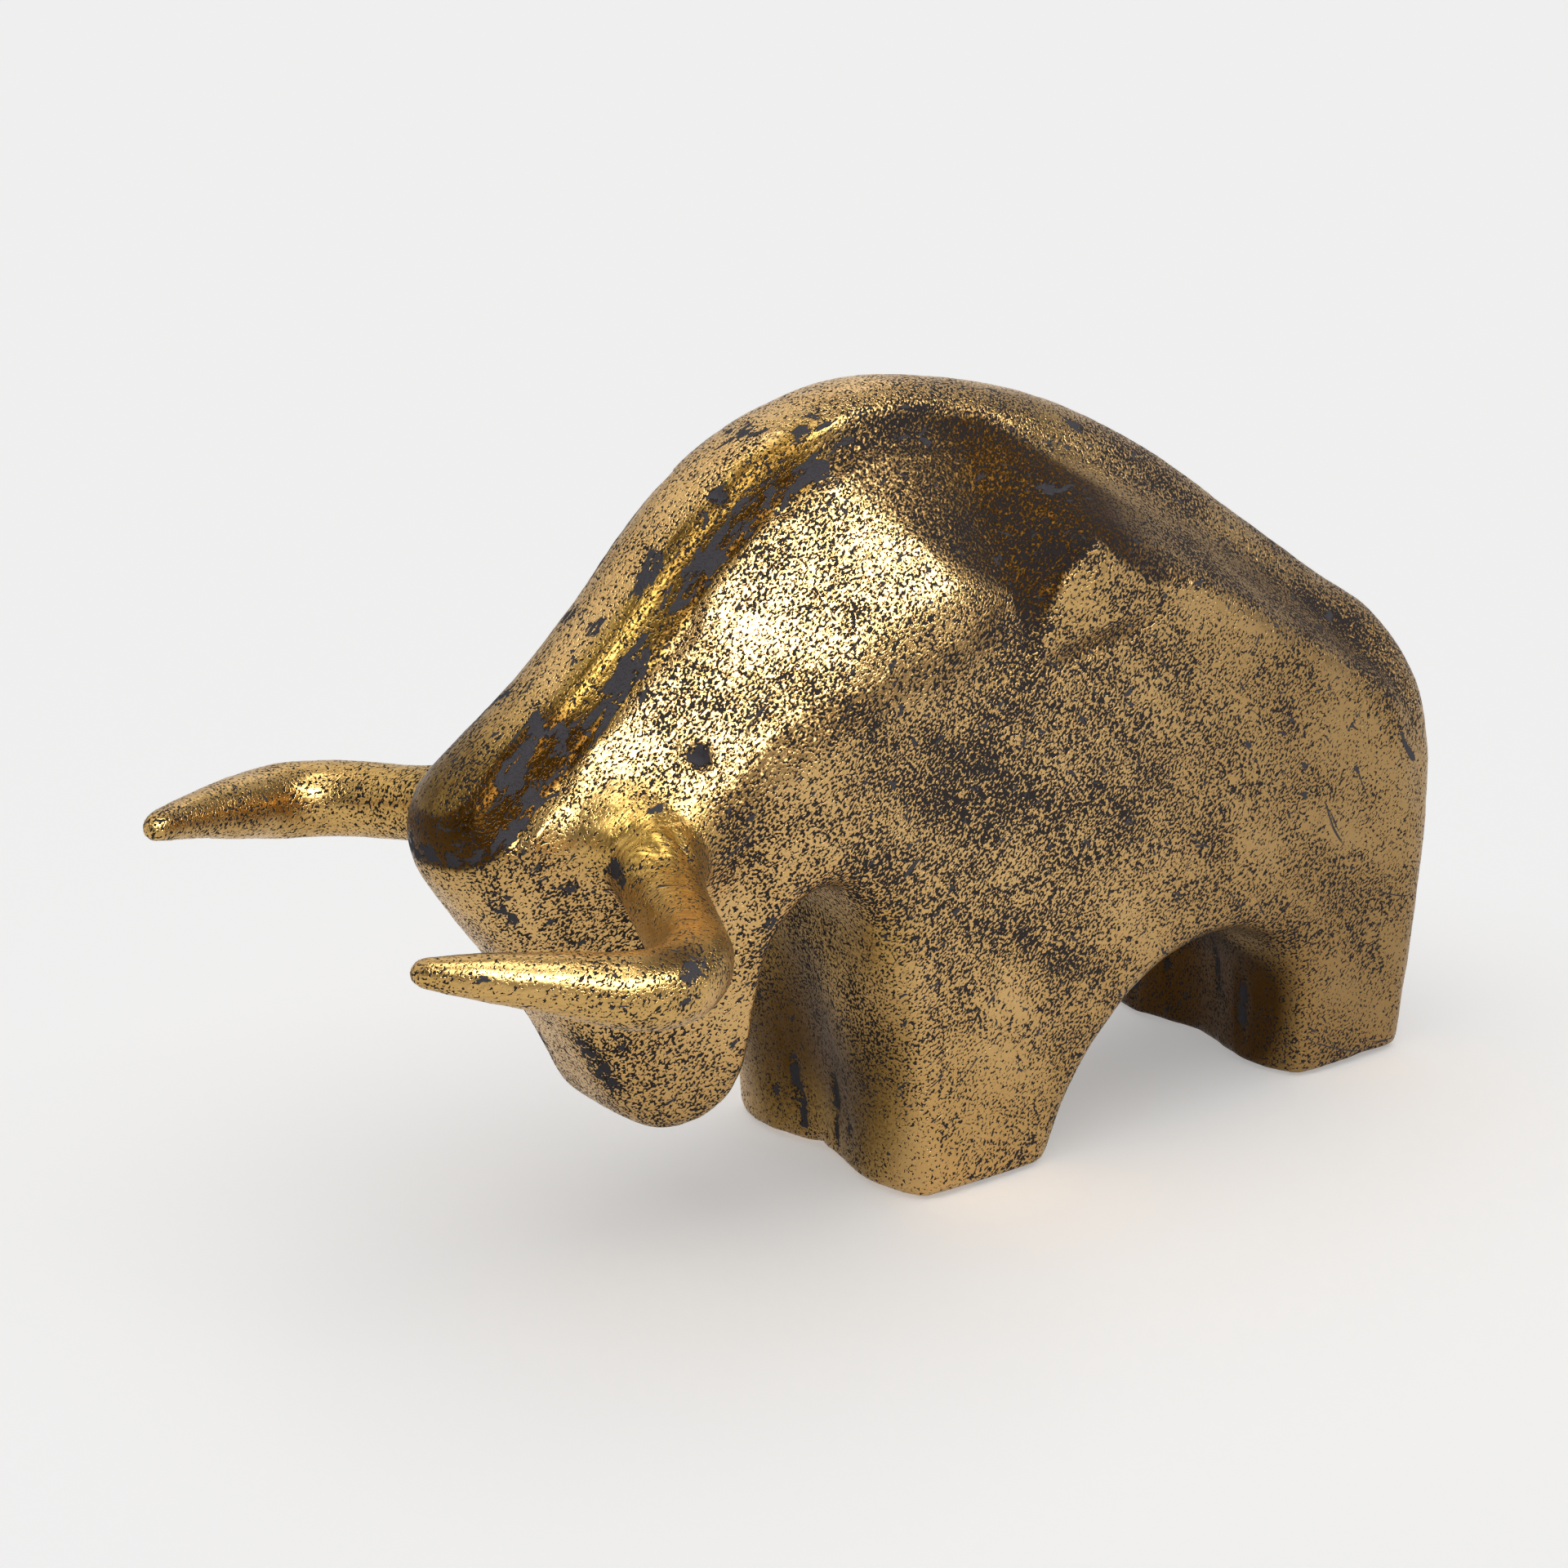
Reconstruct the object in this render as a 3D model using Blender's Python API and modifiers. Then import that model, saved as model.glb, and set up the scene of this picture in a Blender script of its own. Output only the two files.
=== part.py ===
"""Cast bull sculpture: one solid casting, head toward -X, standing on its feet on z = 0.

The side view is a filled outline. Its two faces are pushed out or in by a half width that depends
on the place in the side view, which gives the crest, the shoulder planes, the saddle behind the
shoulder, the haunch and the wedge of the head. The horns are tapering curves joined to the block.
"""
import math

import bmesh
import bpy
import numpy as np
from mathutils import Matrix
from mathutils.geometry import interpolate_bezier

# Overall sizes of the casting, in metres
BODY_LENGTH = 0.2509
HUMP_HEIGHT = 0.1690
BODY_WIDTH = 0.0672
HORN_SPAN = 0.1315
HORN_RADIUS = 0.0118

# The carving is laid out in millimetres on a figure of these sizes, and scales with the casting
PATTERN_LENGTH = 250.9
PATTERN_HEIGHT = 169.0
PATTERN_HALF_WIDTH = 33.6
PATTERN_HORN_OUT = 65.75
GROUND = -1.0
LEAST_HALF_WIDTH = 2.0

# Barrel of the body in millimetres: how far it swells past the straight side, and where
BARREL_SWELL = 2.5
BARREL_CENTRE = (70.0, 78.0)
BARREL_RADII = (90.0, 34.0)
BARREL_TURN = -8.0

# Wedge of the head in millimetres: half width at a place, how it grows along x and z, and where
# the head passes into the neck
HEAD_HALF_WIDTH = 22.0
HEAD_PLACE = (-35.0, 30.0)
HEAD_GROWTH = (0.30, 0.16)
NECK_START, NECK_END = -48.0, -12.0

# Crest in millimetres: half width and depth of the ridge, and how far the roof below it comes out
# for each millimetre down, over the neck and over the back
NECK_CREST = (12.5, 8.5)
BACK_CREST = (14.0, 9.0)
NECK_ROOF = 0.72
BACK_ROOF = 1.45
BACK_START, BACK_FULL = 20.0, 48.0
CREST_END_ROOF = 2.0
ROOF_BLEND = 4.0

# Crease under the crest of the neck, in millimetres
CREASE_DEPTH = 1.3
CREASE_BELOW = 1.0
CREASE_REACH = 2.2

# Saddle behind the shoulder in millimetres: it falls gently from the shoulder to a leaning line and
# rises steeply to the haunch
SADDLE_FOOT = (19.0, 116.0)
SADDLE_LEAN = 0.68
SADDLE_MIDDLE = 138.0
SADDLE_HALF_HEIGHT = 21.0
SADDLE_FRONT_REACH = 14.0
SADDLE_FRONT_FLARE = 0.30
SADDLE_BACK_REACH = 9.0
SADDLE_DEPTH = 5.0
SADDLE_RIDGE_GAP = 14.0

# Two legs of a pair in millimetres: distance of each swell from the mid-plane, its height, its
# upper end, and where along x it fades out on the front and the rear pair
LOBE_OUT = 17.8
LOBE_SWELL = 1.7
LOBE_TOP = 62.0
FRONT_LOBE_FULL, FRONT_LOBE_END = 0.0, 14.0
FRONT_LOBE_LIMIT = -22.0
REAR_LOBE_START, REAR_LOBE_FULL = 90.0, 104.0
REAR_LOBE_FADE, REAR_LOBE_END = 108.0, 122.0

# Mesh fineness, in metres and triangles
VOXEL = 0.0016
BLOCK_SMOOTHING = 3
WHOLE_SMOOTHING = 4
WELD_DISTANCE = 0.00001
FLOOR_SNAP = 0.0001
TRIANGLE_BUDGET = 8600
CURVE_STEPS = 12
HORN_STEPS = 8
HORN_BEVEL = 5
TIP_SEGMENTS, TIP_RINGS = 16, 10

BRASS_COLOR = (0.50, 0.34, 0.13, 1.0)
BRASS_ROUGHNESS = 0.35

MM = 0.001

# Side view in millimetres: x from the front foot, z from the ground, edge radius, and how much of
# the crest the edge carries, from 0 to 1
SIDE_VIEW = (
    # front foot and leg, from the back of the foot forward and up
    (34.5, -4.0, 4.0, 0.0),
    (-1.0, -4.0, 5.0, 0.0),
    (-2.5, 15.0, 7.0, 0.0),
    (-6.0, 34.0, 7.0, 0.0),
    (-9.5, 52.0, 7.0, 0.0),
    # arch of the throat
    (-13.5, 66.0, 7.0, 0.0),
    (-23.0, 73.5, 7.0, 0.0),
    (-32.0, 66.0, 6.0, 0.0),
    # back of the jaw, chin and muzzle
    (-35.0, 52.0, 5.0, 0.0),
    (-36.0, 38.0, 5.0, 0.0),
    (-40.0, 27.0, 5.0, 0.0),
    (-49.5, 22.0, 5.0, 0.0),
    (-58.5, 26.3, 5.0, 0.0),
    (-65.0, 36.5, 5.0, 0.0),
    # face and forehead
    (-71.7, 48.5, 6.0, 0.0),
    (-82.8, 64.0, 8.0, 0.0),
    (-93.2, 77.5, 10.0, 0.0),
    (-99.6, 89.0, 12.0, 0.3),
    (-97.5, 99.5, 13.0, 0.8),
    # crest up the neck and over the hump
    (-86.0, 109.7, 13.0, 1.0),
    (-71.8, 119.8, 13.0, 1.0),
    (-58.8, 131.8, 13.0, 1.0),
    (-44.0, 146.7, 13.0, 1.0),
    (-28.5, 158.5, 13.0, 1.0),
    (-12.0, 165.3, 13.0, 1.0),
    (8.0, 168.0, 13.0, 1.0),
    (31.0, 164.6, 13.0, 1.0),
    # back
    (54.0, 157.7, 13.0, 1.0),
    (82.0, 143.6, 13.0, 1.0),
    (111.0, 122.8, 14.0, 0.9),
    (131.0, 108.0, 16.0, 0.7),
    # rump and rear leg
    (144.5, 97.0, 17.0, 0.35),
    (151.0, 82.0, 15.0, 0.1),
    (151.3, 60.0, 12.0, 0.0),
    (147.2, 30.0, 8.0, 0.0),
    (141.3, -4.0, 4.0, 0.0),
    (106.0, -4.0, 5.0, 0.0),
    (106.5, 14.0, 4.0, 0.0),
    (103.5, 28.0, 5.0, 0.0),
    # arch of the belly
    (93.0, 37.0, 5.0, 0.0),
    (79.0, 38.8, 5.0, 0.0),
    (63.5, 34.0, 5.0, 0.0),
    (51.5, 25.0, 4.5, 0.0),
    (41.5, 12.5, 4.0, 0.0),
)
LONGEST_SAMPLE_STEP = 8.0

# Raised and sunk places of the side in millimetres: centre, radii, turn in degrees, height
CARVING = (
    # point of the haunch
    ((43.0, 126.0), (13.0, 9.0), 0.0, 1.6),
    # crease under the haunch
    ((42.0, 113.5), (17.0, 3.6), 8.0, -1.5),
    # shoulder plane
    ((2.0, 126.0), (26.0, 14.0), 15.0, 1.5),
    # swelling at the root of the horn
    ((-58.0, 88.0), (15.0, 12.0), 0.0, 4.0),
    # hollow between the horn and the muzzle
    ((-68.0, 62.0), (14.0, 10.0), 50.0, -2.0),
    # crease between the jaw and the neck
    ((-42.0, 80.0), (20.0, 5.0), 72.0, -2.5),
)

# Horn centre line in millimetres: x, distance from the mid-plane, z, share of the horn radius
HORN_LINE = (
    (-54.0, 12.0, 89.0, 1.00),
    (-60.0, 24.0, 86.5, 0.84),
    (-66.5, 36.0, 82.8, 0.69),
    (-71.5, 48.5, 80.3, 0.69),
    (-79.0, 60.5, 79.7, 0.71),
    (-90.5, 65.8, 80.2, 0.69),
    (-105.0, 61.0, 83.0, 0.56),
    (-119.0, 54.6, 85.8, 0.42),
    (-129.8, 48.8, 87.8, 0.30),
)


def smooth_step(low, high, value):
    """Go from 0 at low to 1 at high without a corner."""
    share = np.clip((value - low) / (high - low), 0.0, 1.0)
    return share * share * (3.0 - 2.0 * share)


def soft_min(first, second, blend):
    """Smaller of two fields with a rounded meeting."""
    share = np.clip(0.5 + 0.5 * (second - first) / blend, 0.0, 1.0)
    return second * (1.0 - share) + first * share - blend * share * (1.0 - share)


def between(first, second, share):
    """Value that lies between two others."""
    return first + (second - first) * share


def mound(x, z, centre, radii, turn_deg):
    """Bell of height 1 over an ellipse of the side view, turned in the plane of the view."""
    turn = math.radians(turn_deg)
    dx = x - centre[0]
    dz = z - centre[1]
    along = dx * math.cos(turn) + dz * math.sin(turn)
    across = -dx * math.sin(turn) + dz * math.cos(turn)
    return np.exp(-((along / radii[0]) ** 2 + (across / radii[1]) ** 2))


def quarter_round(distance, reach):
    """Rise of a quarter ellipse from 0 at the edge to 1 at the given reach."""
    left = np.clip(1.0 - distance / reach, 0.0, 1.0)
    return np.sqrt(1.0 - left ** 2)


def side_curve():
    """Filled 2D curve of the side view, in metres at pattern size."""
    data = bpy.data.curves.new("side_view", "CURVE")
    data.dimensions = "2D"
    data.fill_mode = "BOTH"
    data.resolution_u = CURVE_STEPS
    spline = data.splines.new("BEZIER")
    spline.bezier_points.add(len(SIDE_VIEW) - 1)
    spline.use_cyclic_u = True
    for point, (x, z, _, _) in zip(spline.bezier_points, SIDE_VIEW):
        point.co = (x * MM, z * MM, 0.0)
        kind = "VECTOR" if z < 0.0 else "AUTO"
        point.handle_left_type = kind
        point.handle_right_type = kind
    return data


def edge_samples(slab):
    """Points along the side view in millimetres, with edge radius and crest share."""
    points = slab.data.splines[0].bezier_points
    rows = []
    for index, point in enumerate(points):
        following = (index + 1) % len(points)
        stretch = interpolate_bezier(
            point.co, point.handle_right,
            points[following].handle_left, points[following].co, CURVE_STEPS + 1)
        start = np.array(SIDE_VIEW[index][2:])
        change = np.array(SIDE_VIEW[following][2:]) - start
        for step in range(CURVE_STEPS):
            radius, crest = start + change * step / CURVE_STEPS
            rows.append((stretch[step][0] / MM, stretch[step][1] / MM, radius, crest))
    return np.array(rows)


def nearest_edge(x, z, samples):
    """Distance from places of the side view to a line of samples, and the nearest sample."""
    best = np.full(x.shape, np.inf)
    nearest = np.zeros(x.shape, dtype=int)
    for index, (start, end) in enumerate(zip(samples, np.roll(samples, -1, axis=0))):
        step = end[:2] - start[:2]
        length_squared = step @ step
        if length_squared > LONGEST_SAMPLE_STEP ** 2:
            continue
        along = ((x - start[0]) * step[0] + (z - start[1]) * step[1]) / length_squared
        along = np.clip(along, 0.0, 1.0)
        gap = np.hypot(x - start[0] - along * step[0], z - start[1] - along * step[1])
        closer = gap < best
        best = np.where(closer, gap, best)
        nearest = np.where(closer, index, nearest)
    return best, nearest


def side_width(x, z):
    """Half width of the body and the head before their edges are rounded."""
    swell = mound(x, z, BARREL_CENTRE, BARREL_RADII, BARREL_TURN)
    body = PATTERN_HALF_WIDTH + BARREL_SWELL * swell
    head = HEAD_HALF_WIDTH + HEAD_GROWTH[0] * (x - HEAD_PLACE[0])
    head = head + HEAD_GROWTH[1] * (z - HEAD_PLACE[1])
    return between(head, body, smooth_step(NECK_START, NECK_END, x))


def crest_width(x, z, side, samples):
    """Half width under the crest, and the depth below its ridge."""
    line = samples[samples[:, 3] > 0.0]
    depth, nearest = nearest_edge(x, z, line)
    radius = line[nearest, 2]
    share = line[nearest, 3]
    back = smooth_step(BACK_START, BACK_FULL, x)
    crest_half = between(NECK_CREST[0], BACK_CREST[0], back)
    crest_depth = between(NECK_CREST[1], BACK_CREST[1], back)
    roof = between(NECK_ROOF, BACK_ROOF, back) + CREST_END_ROOF * (1.0 - share)

    ridge_depth = between(radius, crest_depth, share)
    ridge_half = between(side, crest_half, share)
    ridge_foot = (1.0 - share) * (side - radius)
    below = depth - ridge_depth
    width = between(ridge_foot, ridge_half, quarter_round(depth, ridge_depth))
    width = width + roof * np.clip(below, 0.0, None)
    crease = np.exp(-((below - CREASE_BELOW) / CREASE_REACH) ** 2)
    return width - share * (1.0 - back) * CREASE_DEPTH * crease, below


def saddle_depth(x, z, below_crest):
    """Depth of the sunk place between the shoulder and the haunch."""
    line = SADDLE_FOOT[0] + SADDLE_LEAN * (z - SADDLE_FOOT[1])
    front_reach = SADDLE_FRONT_REACH + SADDLE_FRONT_FLARE * (z - SADDLE_MIDDLE)
    reach = np.where(x < line, np.maximum(front_reach, SADDLE_BACK_REACH), SADDLE_BACK_REACH)
    fade = ((z - SADDLE_MIDDLE) / SADDLE_HALF_HEIGHT) ** 2
    clear_of_crest = smooth_step(0.0, SADDLE_RIDGE_GAP, below_crest)
    return SADDLE_DEPTH * clear_of_crest * np.exp(-((x - line) / reach) ** 2 - fade)


def half_width(x, z, samples):
    """Half width of the block at places of the side view, all in millimetres."""
    side = side_width(x, z)
    rim, nearest = nearest_edge(x, z, samples)
    radius = samples[nearest, 2]
    plain = samples[nearest, 3] == 0.0
    rounded = side - plain * radius * (1.0 - quarter_round(rim, radius))
    roof, below_crest = crest_width(x, z, side, samples)
    width = soft_min(rounded, roof, ROOF_BLEND) - saddle_depth(x, z, below_crest)
    for centre, radii, turn, height in CARVING:
        width = width + height * mound(x, z, centre, radii, turn)
    return np.maximum(width, LEAST_HALF_WIDTH)


def leg_lobes(x, y, z):
    """Forward shift that swells each leg of a pair and leaves a shallow groove between them."""
    swell = np.cos(math.pi * y / LOBE_OUT)
    fade = smooth_step(LOBE_TOP, LOBE_TOP / 2.0, z)
    front_pair = smooth_step(FRONT_LOBE_END, FRONT_LOBE_FULL, x) * (x > FRONT_LOBE_LIMIT)
    rear_pair = smooth_step(REAR_LOBE_START, REAR_LOBE_FULL, x)
    rear_pair = rear_pair * smooth_step(REAR_LOBE_END, REAR_LOBE_FADE, x)
    return LOBE_SWELL * swell * fade * (front_pair + rear_pair)


def real_scale():
    """Factors from the pattern to the casting along x, y and z."""
    return np.array((
        BODY_LENGTH / (PATTERN_LENGTH * MM),
        BODY_WIDTH / (2.0 * PATTERN_HALF_WIDTH * MM),
        HUMP_HEIGHT / (PATTERN_HEIGHT * MM)))


def mesh_of(holder):
    """Plain mesh of an object as the viewport shows it."""
    graph = bpy.context.evaluated_depsgraph_get()
    return bpy.data.meshes.new_from_object(holder.evaluated_get(graph))


def weld(mesh):
    """Join the loose caps of a curve's mesh to its walls."""
    cage = bmesh.new()
    cage.from_mesh(mesh)
    bmesh.ops.remove_doubles(cage, verts=cage.verts, dist=WELD_DISTANCE)
    bmesh.ops.recalc_face_normals(cage, faces=cage.faces)
    cage.to_mesh(mesh)
    cage.free()


def solid_from_curve(name, data, turn, collection):
    """Closed mesh object of a curve, and the curve object that it came from."""
    holder = bpy.data.objects.new(name + "_curve", data)
    holder.matrix_world = turn
    collection.objects.link(holder)
    bpy.context.view_layer.update()
    mesh = mesh_of(holder)
    mesh.transform(turn)
    weld(mesh)
    piece = bpy.data.objects.new(name, mesh)
    collection.objects.link(piece)
    return piece, holder


def apply_even_skin(piece, smooth_steps):
    """Give a solid an even mesh and soften it."""
    skin = piece.modifiers.new("even skin", "REMESH")
    skin.mode = "VOXEL"
    skin.voxel_size = VOXEL
    soften = piece.modifiers.new("soften", "SMOOTH")
    soften.factor = 0.5
    soften.iterations = smooth_steps
    piece.data = mesh_of(piece)
    piece.modifiers.clear()


def carve(block, samples):
    """Move the points of the even slab to the carved half width, then to the casting's size."""
    place = np.empty(len(block.data.vertices) * 3)
    block.data.vertices.foreach_get("co", place)
    place = place.reshape(-1, 3) / MM
    across = np.clip(place[:, 1] / PATTERN_HALF_WIDTH, -1.0, 1.0)
    place[:, 1] = across * half_width(place[:, 0], place[:, 2], samples)
    place[:, 0] += leg_lobes(place[:, 0], place[:, 1], place[:, 2])
    place = place * real_scale() * MM
    block.data.vertices.foreach_set("co", place.ravel())


def body_block(collection):
    """Body, legs and head without the horns."""
    data = side_curve()
    data.extrude = PATTERN_HALF_WIDTH * MM
    upright = Matrix.Rotation(math.radians(90.0), 4, "X")
    block, slab = solid_from_curve("block", data, upright, collection)
    samples = edge_samples(slab)
    bpy.data.objects.remove(slab)
    apply_even_skin(block, 0)
    carve(block, samples)
    apply_even_skin(block, BLOCK_SMOOTHING)
    return block


def horn(collection, side):
    """One horn as a tapering round curve with a rounded tip, on the side -1 or +1."""
    data = bpy.data.curves.new("horn", "CURVE")
    data.dimensions = "3D"
    data.bevel_depth = HORN_RADIUS
    data.bevel_resolution = HORN_BEVEL
    data.use_fill_caps = True
    data.resolution_u = HORN_STEPS
    spline = data.splines.new("BEZIER")
    spline.bezier_points.add(len(HORN_LINE) - 1)
    factors = real_scale()
    out_factor = HORN_SPAN / (2.0 * PATTERN_HORN_OUT * MM)
    for point, (x, out, z, share) in zip(spline.bezier_points, HORN_LINE):
        point.co = (x * factors[0] * MM, side * out * out_factor * MM, z * factors[2] * MM)
        point.radius = share
        point.handle_left_type = "AUTO"
        point.handle_right_type = "AUTO"
    tip_place = spline.bezier_points[-1].co.copy()
    piece, holder = solid_from_curve("horn", data, Matrix.Identity(4), collection)
    bpy.data.objects.remove(holder)

    ball = bmesh.new()
    bmesh.ops.create_uvsphere(ball, u_segments=TIP_SEGMENTS, v_segments=TIP_RINGS,
                              radius=HORN_RADIUS * HORN_LINE[-1][3])
    mesh = bpy.data.meshes.new("horn_tip")
    ball.to_mesh(mesh)
    ball.free()
    tip = bpy.data.objects.new("horn_tip", mesh)
    tip.location = tip_place
    collection.objects.link(tip)
    return [piece, tip]


def join_all(target, pieces):
    """Union the pieces into the target and remove them."""
    for piece in pieces:
        union = target.modifiers.new("join " + piece.name, "BOOLEAN")
        union.operation = "UNION"
        union.solver = "EXACT"
        union.object = piece
    target.data = mesh_of(target)
    target.modifiers.clear()
    for piece in pieces:
        bpy.data.objects.remove(piece)


def cut_feet_flat(bull):
    """Cut the feet off level at the ground of the pattern."""
    height = GROUND * MM * real_scale()[2]
    cage = bmesh.new()
    cage.from_mesh(bull.data)
    everything = cage.verts[:] + cage.edges[:] + cage.faces[:]
    bmesh.ops.bisect_plane(cage, geom=everything, dist=WELD_DISTANCE, plane_co=(0.0, 0.0, height),
                           plane_no=(0.0, 0.0, -1.0), clear_outer=True)
    rims = [edge for edge in cage.edges if edge.is_boundary]
    bmesh.ops.holes_fill(cage, edges=rims)
    bmesh.ops.triangulate(cage, faces=cage.faces)
    bmesh.ops.remove_doubles(cage, verts=cage.verts, dist=FLOOR_SNAP)
    cage.to_mesh(bull.data)
    cage.free()


def thin_out(bull):
    """Bring the skin down to the triangle budget."""
    thin = bull.modifiers.new("thin out", "DECIMATE")
    thin.ratio = TRIANGLE_BUDGET / len(bull.data.polygons)
    thin.use_collapse_triangulate = True
    bull.data = mesh_of(bull)
    bull.modifiers.clear()


def stand_on_origin(bull):
    """Move the casting so that the middle of its box is over the origin and its feet are on z = 0."""
    place = np.empty(len(bull.data.vertices) * 3)
    bull.data.vertices.foreach_get("co", place)
    place = place.reshape(-1, 3)
    low = place.min(axis=0)
    high = place.max(axis=0)
    place -= np.array(((low[0] + high[0]) / 2.0, (low[1] + high[1]) / 2.0, low[2]))
    on_ground = place[:, 2] < FLOOR_SNAP
    place[on_ground, 2] = 0.0
    bull.data.vertices.foreach_set("co", place.ravel())
    bull.data.update()


def cast_brass():
    """Plain cast brass for the solid."""
    material = bpy.data.materials.new("cast brass")
    material.use_nodes = True
    shader = material.node_tree.nodes["Principled BSDF"]
    shader.inputs["Base Color"].default_value = BRASS_COLOR
    shader.inputs["Roughness"].default_value = BRASS_ROUGHNESS
    shader.inputs["Metallic"].default_value = 1.0
    return material


def main():
    """Build the casting."""
    for thing in list(bpy.data.objects):
        bpy.data.objects.remove(thing)
    parts = bpy.data.collections.new("bull_sculpture")
    bpy.context.scene.collection.children.link(parts)

    bull = body_block(parts)
    join_all(bull, horn(parts, -1.0) + horn(parts, 1.0))
    apply_even_skin(bull, WHOLE_SMOOTHING)
    cut_feet_flat(bull)
    thin_out(bull)
    stand_on_origin(bull)
    bull.name = "bull"
    bull.data.name = "bull"
    bull.data.materials.clear()
    bull.data.materials.append(cast_brass())
    return bull


if __name__ == "__main__":
    main()
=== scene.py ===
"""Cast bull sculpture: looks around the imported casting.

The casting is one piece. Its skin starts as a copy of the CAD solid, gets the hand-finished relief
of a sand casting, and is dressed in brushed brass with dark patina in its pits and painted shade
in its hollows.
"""

import logging
import math
from dataclasses import dataclass
from enum import Enum
from typing import Any

import bmesh
import bpy
import numpy as np
from mathutils import Matrix, Vector


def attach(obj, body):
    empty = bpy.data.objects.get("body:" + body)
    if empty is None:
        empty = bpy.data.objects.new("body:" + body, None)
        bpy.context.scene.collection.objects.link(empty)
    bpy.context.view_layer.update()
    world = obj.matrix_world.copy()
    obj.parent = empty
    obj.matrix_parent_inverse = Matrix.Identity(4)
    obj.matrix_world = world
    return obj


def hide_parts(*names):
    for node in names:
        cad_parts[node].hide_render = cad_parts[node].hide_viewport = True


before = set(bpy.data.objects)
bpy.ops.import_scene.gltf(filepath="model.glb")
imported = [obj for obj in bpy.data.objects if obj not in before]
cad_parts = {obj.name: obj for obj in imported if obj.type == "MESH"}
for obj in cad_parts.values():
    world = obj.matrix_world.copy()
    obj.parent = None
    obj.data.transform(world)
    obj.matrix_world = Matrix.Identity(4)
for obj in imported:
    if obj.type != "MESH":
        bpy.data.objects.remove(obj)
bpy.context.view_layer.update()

LOG = logging.getLogger("bull")
MM = 0.001

# Where the pattern of part.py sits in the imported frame, in millimetres
PATTERN_SHIFT = (-9.56, 0.0, 0.99)

Ramp = tuple[float, float]
Line = tuple[tuple[float, float], ...]

# Kinds and settings of the nodes that come up again and again
MATH = "ShaderNodeMath"
NOISE = "ShaderNodeTexNoise"
RANGE = "ShaderNodeMapRange"
TIMES = {"operation": "MULTIPLY"}
ADD_SHARE = {"operation": "MULTIPLY_ADD"}
LARGER = {"operation": "MAXIMUM"}
SMOOTH = {"interpolation_type": "SMOOTHSTEP"}
COLOURS = {"data_type": "RGBA"}


class Place(Enum):
    """Vertex attributes that say where the finish changes."""

    GRAIN = "grain"
    BRUSHED = "brushed"
    PATINA = "patina"
    PITTED = "pitted"
    RELIEF = "relief"
    # painted shade: how far the brass colour is darkened towards brown
    SHADE = "shade"


class Zone(Enum):
    """Regions of the casting that have a finish or a painted shade of their own."""

    CASTING = "the whole casting"
    STRIP = "brushed strip below the crest"
    STRIP_SHADE = "darkness of the strip"
    RIDGE = "rounded ridge above the strip"
    FLAKES = "flakes along the crease"
    SPINE = "crest of the back, behind the hump"
    HORN = "horn"
    ROOT = "root of the horn"
    FACET = "ground facet of the shoulder"
    SCALES_AND_SHADE = "scaly border under the facet"
    DENSE = "densely pitted flank"
    # the rear and the feet get painted shade
    REAR = "flank and haunch, towards the rear"
    FEET = "legs, towards the feet"
    SADDLE = "saddle between hump and haunch"
    SADDLE_SHADE = "darkness of the saddle"


class Takers(Enum):
    """What a lamp lights: nothing but the floor, or all but the floor."""

    FLOOR = "INCLUDE"
    CASTING = "EXCLUDE"


def linear(code: str) -> tuple[float, float, float, float]:
    """Turn an sRGB hex colour into linear red, green, blue and alpha.

    Args:
        code: Six hex digits, as in "C8A064".

    Returns:
        Linear colour with alpha 1.
    """
    parts = [int(code[i:i + 2], 16) / 255.0 for i in (0, 2, 4)]
    red, green, blue = (p / 12.92 if p <= 0.04045 else ((p + 0.055) / 1.055) ** 2.4 for p in parts)
    return red, green, blue, 1.0


def add_node(
    tree: bpy.types.NodeTree,
    kind: str,
    settings: dict[str, Any] | None = None,
    links: dict[int | str, Any] | None = None,
) -> bpy.types.Node:
    """Add a node with its settings, and link or set its inputs.

    Args:
        tree: Node tree that gets the node.
        kind: Type name of the node.
        settings: Properties of the node, by name.
        links: For each input, by name or index, a socket to link, a node whose first output is
            linked, or a value to set.

    Returns:
        The new node.
    """
    node = tree.nodes.new(kind)
    for name, value in (settings or {}).items():
        setattr(node, name, value)
    for key, value in (links or {}).items():
        source = value.outputs[0] if isinstance(value, bpy.types.Node) else value
        if isinstance(source, bpy.types.NodeSocket):
            tree.links.new(source, node.inputs[key])
        else:
            node.inputs[key].default_value = source
    return node


def add_object(name: str, data: Any) -> bpy.types.Object:
    """Make an object of a mesh, lamp or camera, and put it in the scene."""
    item = bpy.data.objects.new(name, data)
    bpy.context.scene.collection.objects.link(item)
    return item


def direction(azimuth: float, elevation: float) -> Vector:
    """Unit vector from the casting towards an azimuth and elevation in degrees."""
    turn, rise = math.radians(azimuth), math.radians(elevation)
    return Vector((math.sin(turn) * math.cos(rise), -math.cos(turn) * math.cos(rise),
                   math.sin(rise)))


def smooth_step(
    low: float | np.ndarray, high: float | np.ndarray, value: np.ndarray
) -> np.ndarray:
    """Go from 0 at low to 1 at high without a corner."""
    share = np.clip((value - low) / (high - low), 0.0, 1.0)
    return share * share * (3.0 - 2.0 * share)


def bell(value: np.ndarray, middle: float | np.ndarray, width: float) -> np.ndarray:
    """Fall from 1 at the middle to a third at one width from it, and soon to 0."""
    return np.exp(-((value - middle) / width) ** 2)


def ripple(along: np.ndarray, swing: float, wave: float) -> np.ndarray:
    """Wander along a line between 1 and 1 less twice the swing."""
    return 1.0 - swing + swing * np.sin(along / wave)


def read_line(line: Line, at: np.ndarray) -> np.ndarray:
    """Value of a line of (place, value) corners at each place."""
    corners = np.array(line)
    return np.interp(at, corners[:, 0], corners[:, 1])


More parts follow.
